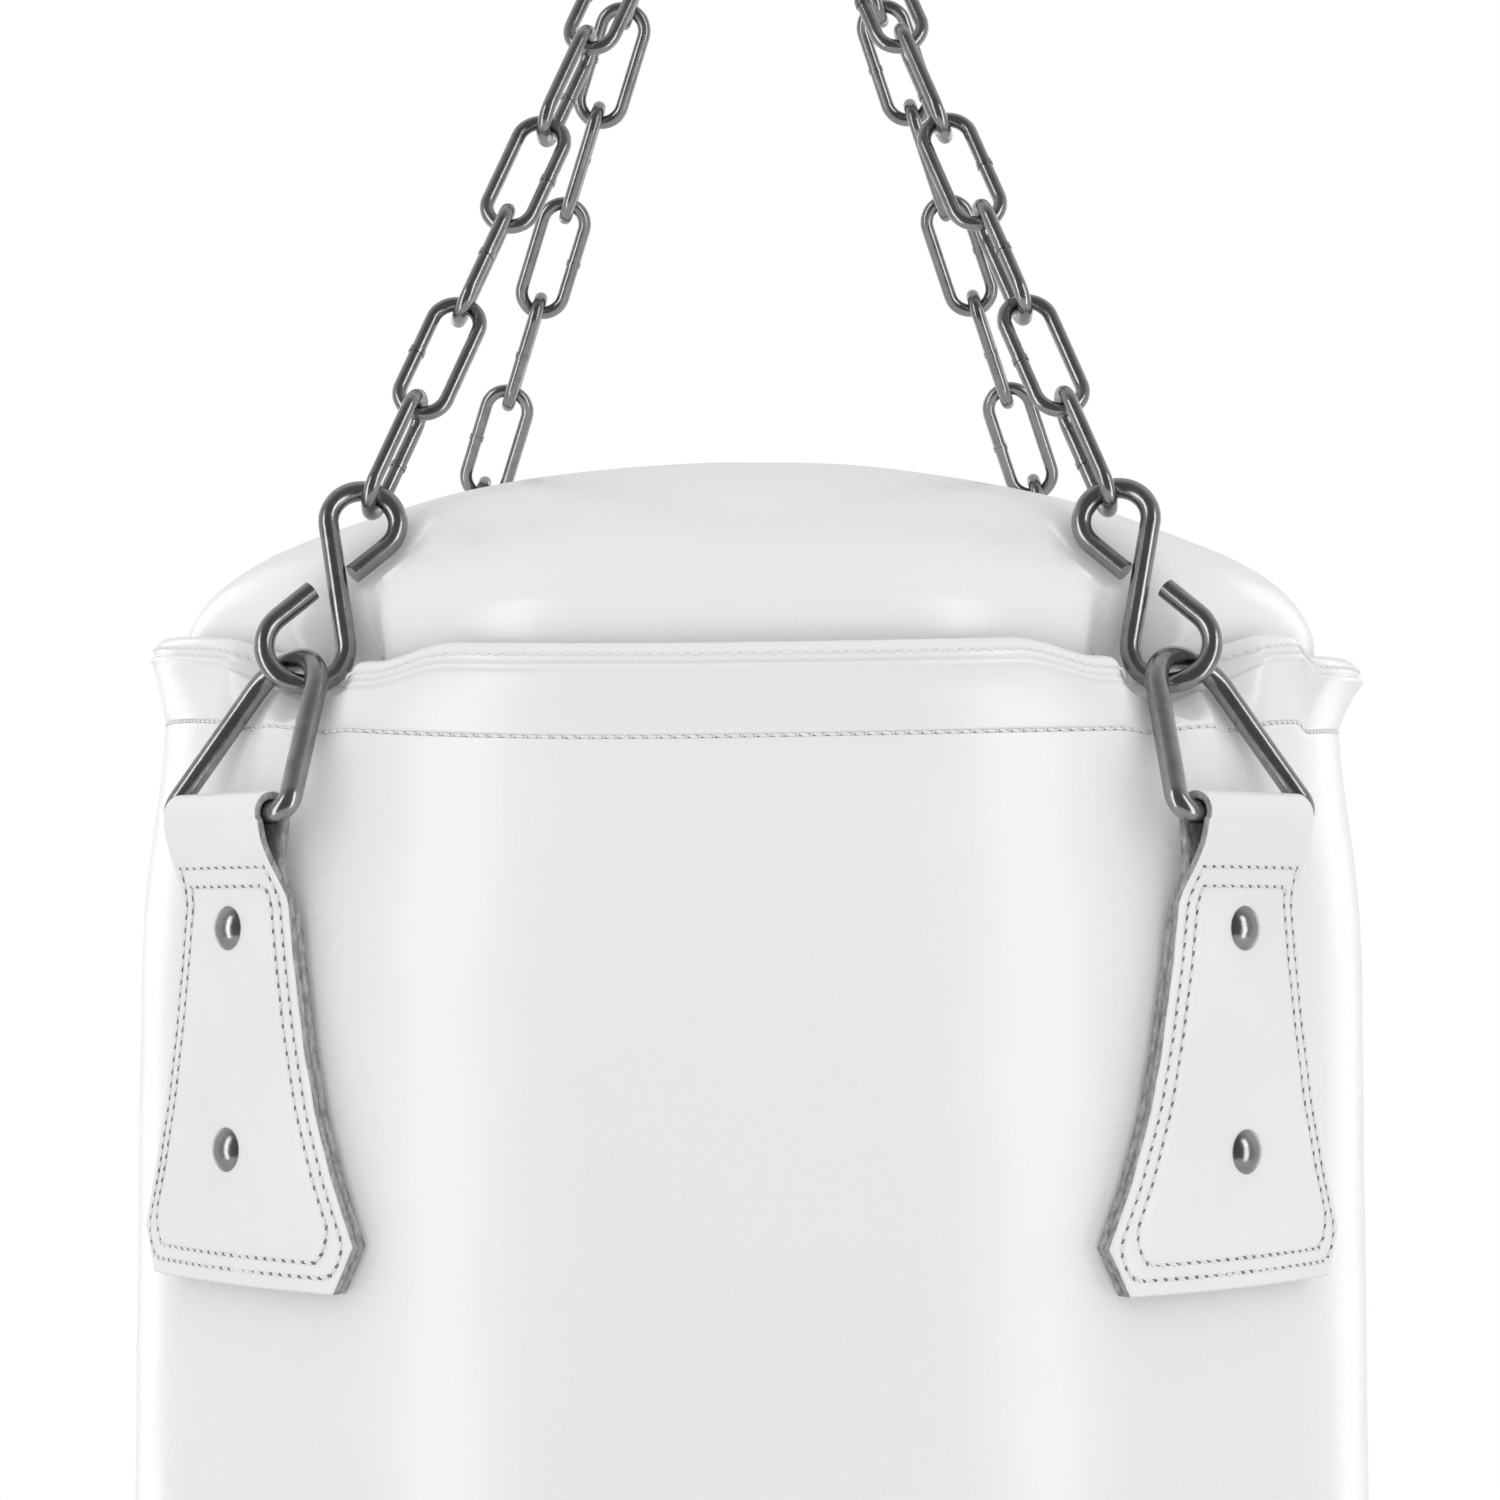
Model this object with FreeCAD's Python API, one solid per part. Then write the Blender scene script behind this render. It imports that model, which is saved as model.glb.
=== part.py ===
import FreeCAD, Part
import math
import os

# Heavy punching bag that hangs from a swivel by four chain slings.
# Millimetres, +Z up.  The origin is the centre of the hanging eye.
# Heights are first given above a datum level at the upper rivets, and every
# piece is lowered by DATUM when it is exported.

V = FreeCAD.Vector

DATUM = 495.0  # the hanging eye's height above the datum level

# bag body
BAG_R = 178.0
SHELL_WALL = 2.2
BAG_BOTTOM = -1024.0
BODY_TAPER = [(-10, 178.0), (5, 177.2), (18, 175.9), (28, 174.2), (38, 172.6), (48, 171.2)]
SEAM_Z = 48.0
BASE_WALL = 2.5
BASE_SAG = 6.0
LINER_IN_R = 150.0
LINER_GAP = 0.3
FILL_R = 149.7
FILL_BOTTOM = -1020.0

# collar round the top, pressed inward where each sling crosses it
COLLAR_R = 176.5
COLLAR_WALL = 3.0
COLLAR_TOP = 70.0
COLLAR_DENT = 19.0
DENT_HALF_ANGLE = 24.0
FLANGE_WALL = 2.0
FLANGE_R = 168.5

# domed top cover
DOME_WALL = 2.5
DOME_BASE_R = 151.0
DOME_SHAPE = [(151.0, 48), (155.5, 62), (159.3, 74), (160.0, 84), (154, 92.5), (131, 110)]
DOME_UPPER = [(108, 120), (74, 128.5), (38, 132.8), (0, 134.0)]
SLING_CLEAR_R = 15.5

# leather straps
STRAP_IN_R = 178.4
STRAP_OUT_R = 183.6
LAYER = 2.4
FOLD_HALF_W = 21.0
STRAP_OUTLINE = [(21.0, 24.0), (23.2, 16.0), (24.6, 8.0), (26.2, -8.0), (29.0, -26.0),
                 (33.4, -45.0), (39.2, -62.0), (46.0, -78.0), (40.0, -90.0)]
BLADE_TOP = 17.0
LOOP_TOP_ANGLE = 28.5
LOOP_IN_R = 3.3
LOOP_OUT_R = 5.7

# D-rings
DRING_BAR_R = 184.5
DRING_BAR_Z = 29.5
DRING_WIRE = 6.0
DRING_HALF_BAR = 21.3
DRING_CORNER = 4.0
DRING_ARC = 14.5
DRING_HEIGHT = 47.0

# S-hooks
HOOK_WIRE = 5.5
HOOK_LOW_R = 10.7
HOOK_TOP_R = 9.2
HOOK_LENGTH = 59.0
HOOK_WRAP = 235.6
HOOK_TIP = 12.0
HOOK_PLAY = 1.0
HOOK_TURN = 13.0

# chain
LINK_COUNT = 9
LINK_WIRE = 4.0
LINK_PITCH = 36.0
LINK_HALF_W = 6.7
WELD_R = 2.3
WELD_LENGTH = 1.6

# carabiner
CLIP_WIRE = 7.0
CLIP_Z = 361.2
CLIP_HALF_BAR = 13.0
CLIP_CORNER = 10.0
CLIP_ARC = 13.0
CLIP_HEIGHT = 78.0
CLIP_PLAY = 0.4
GATE_START = 8.0
GATE_END = 50.0
GATE_PIVOT = 13.0
GATE_R = 3.8
GATE_PIN_R = 1.5
TONGUE_HALF = 1.7

# swivel
BOW_WIRE = 9.0
BOW_Z = 430.4
BOW_HALF_W = 19.0
BOW_CORNER = 9.0
BRIDGE_LOW = 461.0
BRIDGE_HIGH = 473.0
SHANK_R = 6.0
SHANK_GAP = 0.1
HEAD_R = 9.0
EYE_BORE_R = 10.0
EYE_OUT_R = 19.0
EYE_WIDTH = 10.0

# rivets
RIVET_HEIGHTS = [0.5, -56.0]
RIVET_SHANK_R = 2.2
RIVET_CAP_R = 5.65
RIVET_CAP_H = 2.6
RIVET_GAP = 0.05
WASHER_R = 7.0
WASHER_T = 1.2
WASHER_BACK = 1.4

# each sling: name, side in X, side in Y, and its place along the carabiner's bar
SLINGS = [
    ("front_left", -1, -1, -4.2),
    ("front_right", 1, -1, 4.2),
    ("back_left", -1, 1, -10.2),
    ("back_right", 1, 1, 10.2),
]
LINK_TWIST = {("front_left", 3): 15.0, ("front_left", 6): -7.0, ("front_right", 2): 8.0,
              ("front_right", 5): -9.0, ("back_left", 4): 10.0, ("back_right", 6): -10.0}


def polar(radius, degrees, centre=(0.0, 0.0)):
    angle = math.radians(degrees)
    return (centre[0] + radius * math.cos(angle), centre[1] + radius * math.sin(angle))


def flat(point):
    return V(point[0], 0, point[1])


def line(a, b):
    return Part.LineSegment(flat(a), flat(b)).toShape()


def arc(centre, radius, start, end):
    middle = (start + end) / 2.0
    points = [flat(polar(radius, angle, centre)) for angle in (start, middle, end)]
    return Part.Arc(points[0], points[1], points[2]).toShape()


def round_bar(edges, start, direction, radius):
    """Sweeps a round section along edges in the XZ plane."""
    circle = Part.Circle(flat(start), flat(direction), radius).toShape()
    return Part.Wire(edges).makePipe(Part.Face(Part.Wire([circle])))


def tapered_ring(half_bar, corner, top_arc, height, radius):
    """A D-shaped ring in the XZ plane with the middle of its straight bar at the origin."""
    low = (half_bar, corner)
    top = (0.0, height - top_arc)
    span = math.hypot(top[0] - low[0], top[1] - low[1])
    heading = math.degrees(math.atan2(top[1] - low[1], top[0] - low[0]))
    side = heading - math.degrees(math.acos((corner - top_arc) / span))
    edges = [
        line((-half_bar, 0), (half_bar, 0)),
        arc(low, corner, -90, side),
        line(polar(corner, side, low), polar(top_arc, side, top)),
        arc(top, top_arc, side, 180 - side),
        line(polar(top_arc, 180 - side, top), polar(corner, 180 - side, (-half_bar, corner))),
        arc((-half_bar, corner), corner, 180 - side, 270),
    ]
    return round_bar(edges, (-half_bar, 0), (1, 0), radius), side


def placed(shape, origin, x_axis, z_axis):
    """Turns a shape's own X and Z axes to the given ones and moves it to origin."""
    y_axis = z_axis.cross(x_axis)
    turn = FreeCAD.Placement(origin, FreeCAD.Rotation(x_axis, y_axis, z_axis, "ZXY"))
    moved = shape.copy()
    moved.Placement = turn.multiply(moved.Placement)
    return moved


def revolved(points):
    """Revolves a closed outline of (radius, height) points about the bag's axis."""
    corners = [flat(p) for p in points] + [flat(points[0])]
    face = Part.Face(Part.makePolygon(corners))
    return face.revolve(V(0, 0, 0), V(0, 0, 1), 360)


def collar_radius(degrees, inset):
    """The collar's outline: a circle pressed inward at the four slings."""
    from_sling = abs((degrees % 90.0) - 45.0)
    if from_sling >= DENT_HALF_ANGLE:
        return COLLAR_R - inset
    dent = COLLAR_DENT * math.cos(math.radians(90.0 * from_sling / DENT_HALF_ANGLE)) ** 2
    return COLLAR_R - inset - dent


def collar_prism(inset, low, high):
    points = []
    for step in range(120):
        x, y = polar(collar_radius(step * 3.0, inset), step * 3.0)
        points.append(V(x, y, low))
    curve = Part.BSplineCurve()
    curve.interpolate(Points=points, PeriodicFlag=True)
    face = Part.Face(Part.Wire([curve.toShape()]))
    return face.extrude(V(0, 0, high - low))


def sling_axes(side_x, side_y, bar_x):
    """The D-ring's middle, its lean, its bar and the line the sling pulls along."""
    outward = V(side_x, side_y, 0).normalize()
    along_bar = V(0, 0, 1).cross(outward)
    middle = outward * DRING_BAR_R + V(0, 0, DRING_BAR_Z)
    hang = V(bar_x, 0, CLIP_Z)
    pull = hang - middle
    lean = (pull - along_bar * pull.dot(along_bar)).normalize()
    top = middle + lean * DRING_HEIGHT
    upward = (hang - top).normalize()
    across = (V(1, 0, 0) - upward * upward.x).normalize()
    return middle, lean, along_bar, top, upward, across, hang


def sling_stations(length):
    """Distances along the sling from the D-ring's top to each piece's lower bend."""
    wires = (DRING_WIRE + HOOK_WIRE) / 2 + (HOOK_WIRE + LINK_WIRE) / 2
    wires += (LINK_COUNT - 1) * LINK_WIRE + (LINK_WIRE + CLIP_WIRE) / 2
    slack = HOOK_LENGTH + LINK_COUNT * LINK_PITCH - wires - HOOK_PLAY - CLIP_PLAY - length
    gap = slack / (LINK_COUNT + 1)
    hook = -(DRING_WIRE + HOOK_WIRE) / 2 - HOOK_PLAY
    links = [hook + HOOK_LENGTH - (HOOK_WIRE + LINK_WIRE) / 2 - gap]
    for _ in range(LINK_COUNT - 1):
        links.append(links[-1] + LINK_PITCH - LINK_WIRE - gap)
    return hook, links


def clearance_channels(radius):
    """Round channels that keep the soft top clear of the four slings."""
    channels = []
    for _, side_x, side_y, bar_x in SLINGS:
        _, _, _, top, upward, _, _ = sling_axes(side_x, side_y, bar_x)
        channels.append(Part.makeCylinder(radius, 140, top - upward * 11.0, upward))
    return channels


def make_link(bead_side):
    radius = LINK_WIRE / 2
    half = LINK_PITCH / 2
    straight = half - LINK_HALF_W
    low = (0, LINK_HALF_W)
    top = (0, LINK_PITCH - LINK_HALF_W)
    edges = [
        line((-LINK_HALF_W, top[1]), (-LINK_HALF_W, low[1])),
        arc(low, LINK_HALF_W, 180, 360),
        line((LINK_HALF_W, low[1]), (LINK_HALF_W, top[1])),
        arc(top, LINK_HALF_W, 0, 180),
    ]
    ring = round_bar(edges, (-LINK_HALF_W, top[1]), (0, -1), radius)
    start = V(bead_side * LINK_HALF_W, 0, low[1] + straight - WELD_LENGTH / 2)
    return ring.fuse(Part.makeCylinder(WELD_R, WELD_LENGTH, start))


def make_hook():
    """An S-hook in its XZ plane: the lower bend at the origin, +X its open lower side."""
    low = (0, HOOK_LOW_R)
    top = (0, HOOK_LENGTH - HOOK_TOP_R)
    tilt = math.degrees(math.asin((HOOK_LOW_R + HOOK_TOP_R) / (top[1] - low[1])))
    leave = 180 - tilt
    low_end = leave + HOOK_WRAP
    top_start = leave + 180
    top_end = top_start + HOOK_WRAP
    low_start_point = polar(HOOK_LOW_R, low_end, low)
    low_tip = polar(HOOK_TIP, low_end + 90, low_start_point)
    top_tip = polar(HOOK_TIP, top_end + 90, polar(HOOK_TOP_R, top_end, top))
    edges = [
        line(low_tip, low_start_point),
        arc(low, HOOK_LOW_R, low_end, leave),
        line(polar(HOOK_LOW_R, leave, low), polar(HOOK_TOP_R, top_start, top)),
        arc(top, HOOK_TOP_R, top_start, top_end),
        line(polar(HOOK_TOP_R, top_end, top), top_tip),
    ]
    heading = polar(1.0, low_end - 90)
    return round_bar(edges, low_tip, heading, HOOK_WIRE / 2)


def make_strap(outward, along_bar):
    """A doubled leather tab: a curved blade, and a fold round the D-ring's bar."""
    outline = [(x, z) for x, z in STRAP_OUTLINE if z < BLADE_TOP]
    outline.insert(0, (FOLD_HALF_W + 1.6, BLADE_TOP))
    corners = [V(x, 0, z) for x, z in outline] + [V(-x, 0, z) for x, z in reversed(outline)]
    corners.append(corners[0])
    blade = Part.Face(Part.makePolygon(corners)).extrude(V(0, -260, 0))
    height = BLADE_TOP + 100.0
    tube = Part.makeCylinder(STRAP_OUT_R, height, V(0, 0, -95.0))
    tube = tube.cut(Part.makeCylinder(STRAP_IN_R, height, V(0, 0, -95.0)))
    blade = blade.common(tube)

    centre = (DRING_BAR_R, DRING_BAR_Z)
    back = DRING_BAR_R - LOOP_OUT_R
    outer_touch = polar(LOOP_OUT_R, -LOOP_TOP_ANGLE, centre)
    inner_touch = polar(LOOP_IN_R, -LOOP_TOP_ANGLE, centre)
    slope = math.tan(math.radians(LOOP_TOP_ANGLE))
    foot_z = outer_touch[1] - (outer_touch[0] - STRAP_OUT_R) / slope
    inner_back = DRING_BAR_R - LOOP_IN_R
    gap_z = inner_touch[1] - (inner_touch[0] - inner_back) / slope
    outer_edges = [
        line((back, 10.0), (back, DRING_BAR_Z)),
        arc(centre, LOOP_OUT_R, 180, -LOOP_TOP_ANGLE),
        line(outer_touch, (STRAP_OUT_R, foot_z)),
        line((STRAP_OUT_R, foot_z), (STRAP_OUT_R - 1.2, 10.0)),
        line((STRAP_OUT_R - 1.2, 10.0), (back, 10.0)),
    ]
    inner_edges = [
        line((inner_back, gap_z), (inner_back, DRING_BAR_Z)),
        arc(centre, LOOP_IN_R, 180, -LOOP_TOP_ANGLE),
        line(inner_touch, (inner_back, gap_z)),
    ]
    width = V(0, 2 * FOLD_HALF_W, 0)
    fold = Part.Face(Part.Wire(outer_edges)).extrude(width)
    fold = fold.cut(Part.Face(Part.Wire(inner_edges)).extrude(width))
    fold.translate(V(0, -FOLD_HALF_W, 0))
    fold.rotate(V(0, 0, 0), V(0, 0, 1), -90)

    strap = blade.fuse(fold)
    for height in RIVET_HEIGHTS:
        hole_r = RIVET_SHANK_R + RIVET_GAP
        strap = strap.cut(Part.makeCylinder(hole_r, 40, V(0, -200, height), V(0, 1, 0)))
    return placed(strap, V(0, 0, 0), along_bar, V(0, 0, 1))


def make_rivet(outward, height):
    cap_base = STRAP_OUT_R + 0.1
    sphere_r = (RIVET_CAP_R ** 2 + RIVET_CAP_H ** 2) / (2 * RIVET_CAP_H)
    centre = outward * (cap_base + RIVET_CAP_H - sphere_r) + V(0, 0, height)
    base = outward * cap_base + V(0, 0, height)
    cap = Part.makeSphere(sphere_r, centre).common(Part.makeCylinder(RIVET_CAP_R, 10, base, outward))
    tail = BAG_R - SHELL_WALL - WASHER_T - WASHER_BACK - 0.8
    start = outward * tail + V(0, 0, height)
    shank = Part.makeCylinder(RIVET_SHANK_R, cap_base + 0.5 - tail, start, outward)
    return cap.fuse(shank)


def shell_profile(inset):
    rows = [(BAG_R - inset, BODY_TAPER[0][0])]
    for height, radius in BODY_TAPER[1:]:
        rows.append((radius - inset, height))
    return rows


def make_shell(rivet_axes):
    outer = [(BAG_R, BAG_BOTTOM)] + shell_profile(0)
    inner = [(BAG_R - SHELL_WALL, BAG_BOTTOM)] + shell_profile(SHELL_WALL)
    shell = revolved(outer + list(reversed(inner)))
    for outward, height in rivet_axes:
        start = outward * (BAG_R - 20) + V(0, 0, height)
        shell = shell.cut(Part.makeCylinder(RIVET_SHANK_R + RIVET_GAP, 40, start, outward))
    return shell


def make_liner(rivet_axes):
    inset = SHELL_WALL + LINER_GAP
    top = SEAM_Z - FLANGE_WALL - 0.5
    outer = [(BAG_R - inset, FILL_BOTTOM)]
    outer += [row for row in shell_profile(inset) if row[1] < top]
    outer += [(171.2 - inset, top), (LINER_IN_R, top), (LINER_IN_R, FILL_BOTTOM)]
    liner = revolved(outer)
    for outward, height in rivet_axes:
        start = outward * (BAG_R - 9.0) + V(0, 0, height)
        liner = liner.cut(Part.makeCylinder(WASHER_R + 1.0, 20, start, outward))
    return liner


def make_top_cover():
    outer = [(0, 46), (DOME_BASE_R, 46)] + DOME_SHAPE + DOME_UPPER
    inner = [(0, 40), (DOME_BASE_R - DOME_WALL, 40)]
    for radius, height in DOME_SHAPE:
        inner.append((radius - DOME_WALL, height - 0.3))
    for radius, height in DOME_UPPER:
        inner.append((radius, height - DOME_WALL))
    outside = revolved(outer).common(collar_prism(COLLAR_WALL + 0.4, 40, 140))
    inside = revolved(inner).common(collar_prism(COLLAR_WALL + 0.4 + DOME_WALL, 30, 150))
    for channel in clearance_channels(SLING_CLEAR_R):
        outside = outside.cut(channel)
    for channel in clearance_channels(SLING_CLEAR_R + DOME_WALL):
        inside = inside.cut(channel)
    flange = Part.makeCylinder(FLANGE_R, FLANGE_WALL, V(0, 0, SEAM_Z - FLANGE_WALL))
    return outside.fuse(flange).cut(inside)


def make_filling():
    rows = [(0, FILL_BOTTOM), (FILL_R, FILL_BOTTOM), (FILL_R, 44.0), (146.0, 46.0)]
    for radius, height in DOME_SHAPE:
        rows.append((min(radius, FILL_R) - DOME_WALL - 2.0, height - 2.0))
    for radius, height in DOME_UPPER:
        rows.append((max(radius - 4.0, 0), height - DOME_WALL - 3.0))
    filling = revolved(rows)
    for channel in clearance_channels(SLING_CLEAR_R + DOME_WALL + 1.5):
        filling = filling.cut(channel)
    return filling


def make_collar():
    low = SEAM_Z + 0.1
    wall = collar_prism(0, low, COLLAR_TOP).cut(collar_prism(COLLAR_WALL, low - 1, COLLAR_TOP + 1))
    hem = collar_prism(0, low, low + FLANGE_WALL)
    hem = hem.cut(Part.makeCylinder(DOME_BASE_R + 1.0, 10, V(0, 0, low - 2)))
    collar = wall.fuse(hem)
    for channel in clearance_channels(SLING_CLEAR_R):
        collar = collar.cut(channel)
    return collar


def make_base():
    sag_r = (BAG_R ** 2 + BASE_SAG ** 2) / (2 * BASE_SAG)
    rows = []
    for step in range(9):
        radius = (BAG_R - 0.5) * step / 8
        drop = BASE_SAG - (sag_r - math.sqrt(sag_r ** 2 - radius ** 2))
        rows.append((radius, BAG_BOTTOM - 0.1 - BASE_WALL - drop))
    upper = [(radius, height + BASE_WALL) for radius, height in rows]
    return revolved(rows + list(reversed(upper)))


def make_carabiner():
    ring, side = tapered_ring(CLIP_HALF_BAR, CLIP_CORNER, CLIP_ARC, CLIP_HEIGHT, CLIP_WIRE / 2)
    foot = polar(CLIP_CORNER, side, (CLIP_HALF_BAR, CLIP_CORNER))
    heading = flat(polar(1.0, side + 90))
    sideways = flat(polar(1.0, side))
    start = flat(foot) + heading * GATE_START
    window = Part.makeBox(24, 24, GATE_END - GATE_START)
    window.translate(V(-12, -12, 0))
    clip = ring.cut(placed(window, start, sideways, heading))

    pivot = flat(foot) + heading * GATE_PIVOT
    tongue = Part.makeBox(6.4, 2 * TONGUE_HALF, GATE_PIVOT - GATE_START + 1)
    tongue.translate(V(-3.2, -TONGUE_HALF, 0))
    tongue = placed(tongue, start - heading, sideways, heading)
    disc = Part.makeCylinder(3.2, 2 * TONGUE_HALF, pivot - V(0, TONGUE_HALF, 0), V(0, 1, 0))
    clip = clip.fuse(tongue).fuse(disc)
    hole = Part.makeCylinder(GATE_PIN_R + RIVET_GAP, 12, pivot - V(0, 6, 0), V(0, 1, 0))
    clip = clip.cut(hole)

    barrel = Part.makeCylinder(GATE_R, GATE_END - 0.4 - GATE_PIVOT, pivot, heading)
    knuckle = Part.makeCylinder(GATE_R, 6.0, pivot - heading * 6.0, heading)
    round_end = Part.makeCylinder(GATE_R, 12, pivot - V(0, 6, 0), V(0, 1, 0))
    gate = barrel.fuse(knuckle.common(round_end))
    slot = Part.makeBox(12, 2 * TONGUE_HALF + 0.6, 12)
    slot.translate(V(-6, -TONGUE_HALF - 0.3, -7))
    gate = gate.cut(placed(slot, pivot, sideways, heading))
    pin = Part.makeCylinder(GATE_PIN_R, 7.4, pivot - V(0, 3.7, 0), V(0, 1, 0))
    gate = gate.fuse(pin)
    for shape in (clip, gate):
        shape.translate(V(0, 0, CLIP_Z))
    return clip, gate


def make_bow():
    half = BOW_HALF_W
    straight = half - BOW_CORNER
    lift = BRIDGE_LOW + 2.0 - BOW_Z
    edges = [
        line((-half, lift), (-half, BOW_CORNER)),
        arc((-straight, BOW_CORNER), BOW_CORNER, 180, 270),
        line((-straight, 0), (straight, 0)),
        arc((straight, BOW_CORNER), BOW_CORNER, -90, 0),
        line((half, BOW_CORNER), (half, lift)),
    ]
    bow = round_bar(edges, (-half, lift), (0, -1), BOW_WIRE / 2)
    bow = placed(bow, V(0, 0, BOW_Z), V(0, 1, 0), V(0, 0, 1))
    bridge = Part.makeBox(22, 50, BRIDGE_HIGH - BRIDGE_LOW)
    bridge.translate(V(-11, -25, BRIDGE_LOW))
    upright = [edge for edge in bridge.Edges if edge.BoundBox.ZLength > 5]
    bridge = bridge.makeFillet(7.0, upright)
    bow = bow.fuse(bridge)
    return bow.cut(Part.makeCylinder(SHANK_R + SHANK_GAP, 40, V(0, 0, BRIDGE_LOW - 10)))


def make_eye():
    head = Part.makeCylinder(HEAD_R, 5.7, V(0, 0, BRIDGE_LOW - 6.0))
    shank = Part.makeCylinder(SHANK_R, 24, V(0, 0, BRIDGE_LOW - 4.0))
    neck = Part.makeCone(9.5, 7.0, 8.0, V(0, 0, BRIDGE_HIGH + 0.3))
    ring = Part.makeCylinder(EYE_OUT_R, EYE_WIDTH, V(0, -EYE_WIDTH / 2, DATUM), V(0, 1, 0))
    rims = [edge for edge in ring.Edges if edge.Curve.TypeId == "Part::GeomCircle"]
    ring = ring.makeFillet(2.5, rims)
    eye = head.fuse([shank, neck, ring])
    bore = Part.makeCylinder(EYE_BORE_R, 30, V(0, -15, DATUM), V(0, 1, 0))
    return eye.cut(bore).removeSplitter()


def save(shape, name):
    lowered = shape.copy()
    lowered.translate(V(0, 0, -DATUM))
    solids = lowered.Solids
    if not solids or not lowered.isValid():
        raise ValueError(name + " is not a valid solid")
    if len(solids) == 1:
        lowered = solids[0]
    else:
        lowered = Part.makeCompound(solids)
    lowered.exportStep("parts/" + name + ".step")


os.makedirs("parts", exist_ok=True)

hook_shape = make_hook()
ring_shape, _ = tapered_ring(DRING_HALF_BAR, DRING_CORNER, DRING_ARC, DRING_HEIGHT,
                             DRING_WIRE / 2)
rivet_axes = []
rivets = []
washers = []
for name, side_x, side_y, bar_x in SLINGS:
    middle, lean, along_bar, top, upward, across, hang = sling_axes(side_x, side_y, bar_x)
    outward = V(side_x, side_y, 0).normalize()
    hook_at, link_at = sling_stations((hang - top).Length)

    save(make_strap(outward, along_bar), "strap_" + name)
    save(placed(ring_shape, middle, along_bar, lean), "d_ring_" + name)
    hook_turn = FreeCAD.Rotation(upward, HOOK_TURN * side_x * side_y)
    open_side = hook_turn.multVec(across * side_x)
    hook = placed(hook_shape, top + upward * hook_at, open_side, upward)
    save(hook, "s_hook_" + name)
    for index in range(1, LINK_COUNT + 1):
        facing = across
        if index % 2 == 1:
            facing = upward.cross(across)
        twist = LINK_TWIST.get((name, index), 0.0)
        facing = FreeCAD.Rotation(upward, twist).multVec(facing)
        bead_side = 1 if (index // 2) % 2 == 0 else -1
        link = placed(make_link(bead_side), top + upward * link_at[index - 1], facing, upward)
        save(link, "link_" + name + "_" + str(index))

    for height in RIVET_HEIGHTS:
        rivet_axes.append((outward, height))
        rivets.append(make_rivet(outward, height))
        start = outward * (BAG_R - SHELL_WALL - WASHER_T - WASHER_BACK) + V(0, 0, height)
        washer = Part.makeCylinder(WASHER_R, WASHER_T, start, outward)
        hole = Part.makeCylinder(RIVET_SHANK_R + RIVET_GAP, 10, start - outward * 4, outward)
        washers.append(washer.cut(hole))

save(Part.makeCompound(rivets), "strap_rivets")
save(Part.makeCompound(washers), "rivet_washers")
save(make_shell(rivet_axes), "shell")
save(make_liner(rivet_axes), "foam_liner")
save(make_filling(), "filling")
save(make_top_cover(), "top_cover")
save(make_collar(), "collar")
save(make_base(), "base_panel")
clip, gate = make_carabiner()
save(clip, "carabiner")
save(gate, "carabiner_gate")
save(make_bow(), "swivel_bow")
save(make_eye(), "swivel_eye")
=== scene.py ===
"""Looks for a hanging punching bag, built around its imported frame. Metres, +Z up, front towards -Y."""

import math
import random

import bpy
import numpy as np
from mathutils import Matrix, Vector, noise


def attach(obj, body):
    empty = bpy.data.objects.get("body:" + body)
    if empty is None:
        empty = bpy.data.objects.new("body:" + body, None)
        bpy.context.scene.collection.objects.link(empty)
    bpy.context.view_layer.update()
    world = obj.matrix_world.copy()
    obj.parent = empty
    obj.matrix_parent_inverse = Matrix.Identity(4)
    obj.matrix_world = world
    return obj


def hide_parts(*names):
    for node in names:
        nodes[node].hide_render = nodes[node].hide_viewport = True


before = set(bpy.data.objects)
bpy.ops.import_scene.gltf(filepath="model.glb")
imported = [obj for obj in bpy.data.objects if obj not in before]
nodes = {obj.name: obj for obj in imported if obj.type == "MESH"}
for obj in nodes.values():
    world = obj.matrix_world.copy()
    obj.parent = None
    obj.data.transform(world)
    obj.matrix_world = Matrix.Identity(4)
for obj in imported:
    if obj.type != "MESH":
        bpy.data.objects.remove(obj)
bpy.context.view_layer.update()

MM = 0.001
DATUM = 495.0  # mm from the datum level at the upper rivets up to the hanging eye
SLINGS = {
    "front_left": (-45.0, -4.2),
    "front_right": (45.0, 4.2),
    "back_left": (-135.0, -10.2),
    "back_right": (135.0, 10.2),
}
RING_BAR_R, RING_BAR_Z, RING_HEIGHT, CLIP_Z = 184.5, 29.5, 47.0, 361.2
BAG_BOTTOM = -1024.0
TWO_PI = 2.0 * math.pi


# ---------------------------------------------------------------- materials

def new_material(name):
    mat = bpy.data.materials.new(name)
    mat.use_nodes = True
    tree = mat.node_tree
    shader = tree.nodes["Principled BSDF"]
    coords = tree.nodes.new("ShaderNodeTexCoord")
    return mat, tree, shader, coords.outputs["Object"]


def noise_value(tree, coords, scale, detail=3.0, roughness=0.55, stretch=None):
    if stretch:
        mapping = tree.nodes.new("ShaderNodeMapping")
        mapping.inputs["Scale"].default_value = stretch
        tree.links.new(coords, mapping.inputs["Vector"])
        coords = mapping.outputs["Vector"]
    node = tree.nodes.new("ShaderNodeTexNoise")
    node.inputs["Scale"].default_value = scale
    node.inputs["Detail"].default_value = detail
    node.inputs["Roughness"].default_value = roughness
    tree.links.new(coords, node.inputs["Vector"])
    return node.outputs["Fac"]


def cells_value(tree, coords, scale):
    node = tree.nodes.new("ShaderNodeTexVoronoi")
    node.inputs["Scale"].default_value = scale
    tree.links.new(coords, node.inputs["Vector"])
    return node.outputs["Distance"]


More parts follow.
